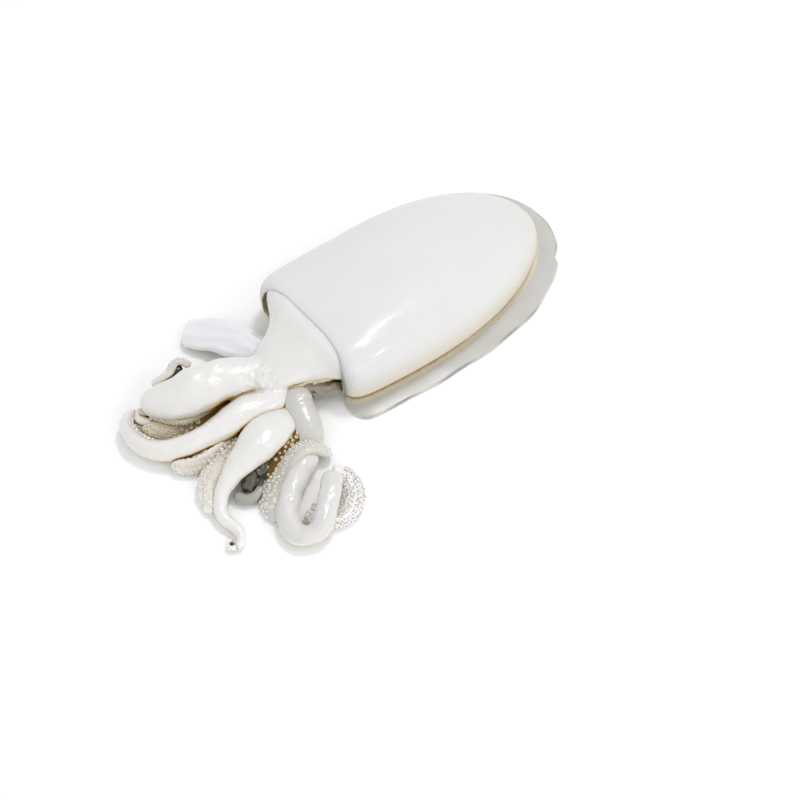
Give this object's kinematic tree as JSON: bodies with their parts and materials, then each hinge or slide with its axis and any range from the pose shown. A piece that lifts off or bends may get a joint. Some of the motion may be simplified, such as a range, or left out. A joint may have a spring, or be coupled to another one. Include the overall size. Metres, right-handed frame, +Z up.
{
  "type": "cleaned cuttlefish",
  "caption": "Whole cleaned cuttlefish lying belly side up: smooth domed mantle with a thin fin round its edge, funnel at the mouth, and loosely curled arms and tentacle with suckers.",
  "frame": {"origin": "bottom centre of the object's box, on the surface it lies on", "axes": "+X from the arms to the tail, +Z up"},
  "size_m": [0.289, 0.1696, 0.038],
  "materials": {
    "mantle_flesh": "wet, smooth, skinned raw flesh, off-white and slightly see-through at thin edges",
    "head_flesh": "wet raw flesh, off-white, with cream suckers and brownish creases"
  },
  "bodies": {
    "root": {"mantle": "mantle_flesh", "head": "head_flesh"}
  },
  "joints": []
}
